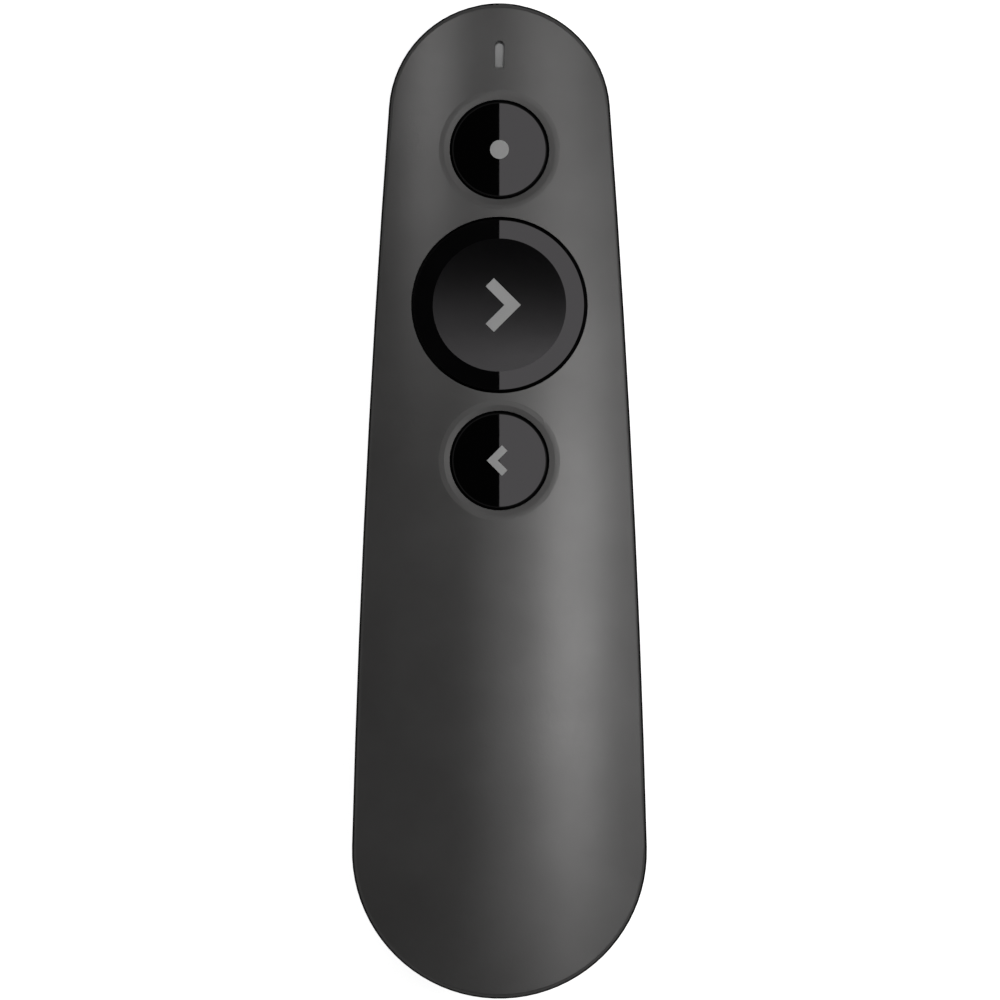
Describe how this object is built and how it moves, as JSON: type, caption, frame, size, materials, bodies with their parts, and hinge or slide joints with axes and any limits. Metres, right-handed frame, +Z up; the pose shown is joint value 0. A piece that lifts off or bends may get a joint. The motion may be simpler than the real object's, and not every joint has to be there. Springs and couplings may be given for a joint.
{
  "type": "presentation clicker",
  "caption": "Pebble-shaped handheld presentation remote with round push buttons, a laser window in its nose, a sliding battery door and a USB receiver stored in its tail.",
  "frame": {"origin": "on the table under the middle of the body, which lies on its back", "axes": "+Z up out of the buttons, +Y towards the laser end, +X to the right seen from above with the laser end away from the viewer"},
  "size_m": [0.0372, 0.1258, 0.0265],
  "materials": {
    "cover_satin": "satin graphite, fine spark grain",
    "shell_black": "soft-touch black",
    "button_gloss": "piano black",
    "symbol_grey": "satin light grey",
    "guide_clear": "smoky translucent",
    "window_glass": "clear, polished",
    "bezel_black": "gloss black",
    "steel_plated": "nickel plated",
    "screw_black": "black zinc",
    "brass_turned": "turned",
    "contact_gold": "gold plated",
    "cell_metal": "nickel-plated can",
    "cell_wrap": "printed film, plain",
    "board_laminate": "green solder mask",
    "chip_resin": "moulded resin",
    "chip_ceramic": "fired ceramic",
    "switch_plastic": "moulded",
    "plunger_plastic": "moulded",
    "lead_insulation": "smooth",
    "foam_black": "open-cell foam"
  },
  "bodies": {
    "handset": {"top_cover": "cover_satin", "bottom_cover": "shell_black", "laser_switch_body": "switch_plastic", "next_switch_body": "switch_plastic", "back_switch_body": "switch_plastic", "main_board": "board_laminate", "radio_chip": "chip_resin", "crystal": "steel_plated", "chip_antenna": "chip_ceramic", "boost_coil": "chip_resin", "status_led": "guide_clear", "chip_passives": "chip_ceramic", "case_screws": "screw_black", "board_screws": "steel_plated", "strap_screws": "steel_plated", "battery_cell": "cell_metal", "battery_sleeve": "cell_wrap", "negative_contact": "steel_plated", "positive_contact": "steel_plated", "negative_spring": "steel_plated", "negative_lead": "lead_insulation", "laser_barrel": "brass_turned", "laser_lens": "window_glass", "laser_diode": "contact_gold", "laser_pins": "contact_gold", "laser_bezel": "bezel_black", "laser_window": "window_glass", "laser_strap": "steel_plated", "light_guide": "guide_clear"},
    "laser_key": {"laser_button": "button_gloss", "laser_button_symbol": "symbol_grey", "laser_switch_plunger": "plunger_plastic"},
    "next_key": {"next_button": "button_gloss", "next_button_symbol": "symbol_grey", "next_switch_plunger": "plunger_plastic"},
    "back_key": {"back_button": "button_gloss", "back_button_symbol": "symbol_grey", "back_switch_plunger": "plunger_plastic"},
    "door": {"battery_door": "shell_black", "door_foam_pad": "foam_black"},
    "receiver": {"receiver_cap": "shell_black", "receiver_plug_shell": "steel_plated", "receiver_tongue": "switch_plastic", "receiver_contacts": "contact_gold"}
  },
  "joints": [
    {"name": "laser_button_press", "type": "slide", "parent": "handset", "child": "laser_key", "axis": [0, 0, -1], "range_m": [0, 0.0004], "stiffness_N_per_m": 4000},
    {"name": "next_button_press", "type": "slide", "parent": "handset", "child": "next_key", "axis": [0, 0, -1], "range_m": [0, 0.0004], "stiffness_N_per_m": 4000},
    {"name": "back_button_press", "type": "slide", "parent": "handset", "child": "back_key", "axis": [0, 0, -1], "range_m": [0, 0.0004], "stiffness_N_per_m": 4000},
    {"name": "battery_door_slide", "type": "slide", "parent": "handset", "child": "door", "axis": [0, -1, 0], "range_m": [0, 0.006]},
    {"name": "receiver_slide", "type": "slide", "parent": "handset", "child": "receiver", "axis": [0, -1, 0], "range_m": [0, 0.02]}
  ]
}
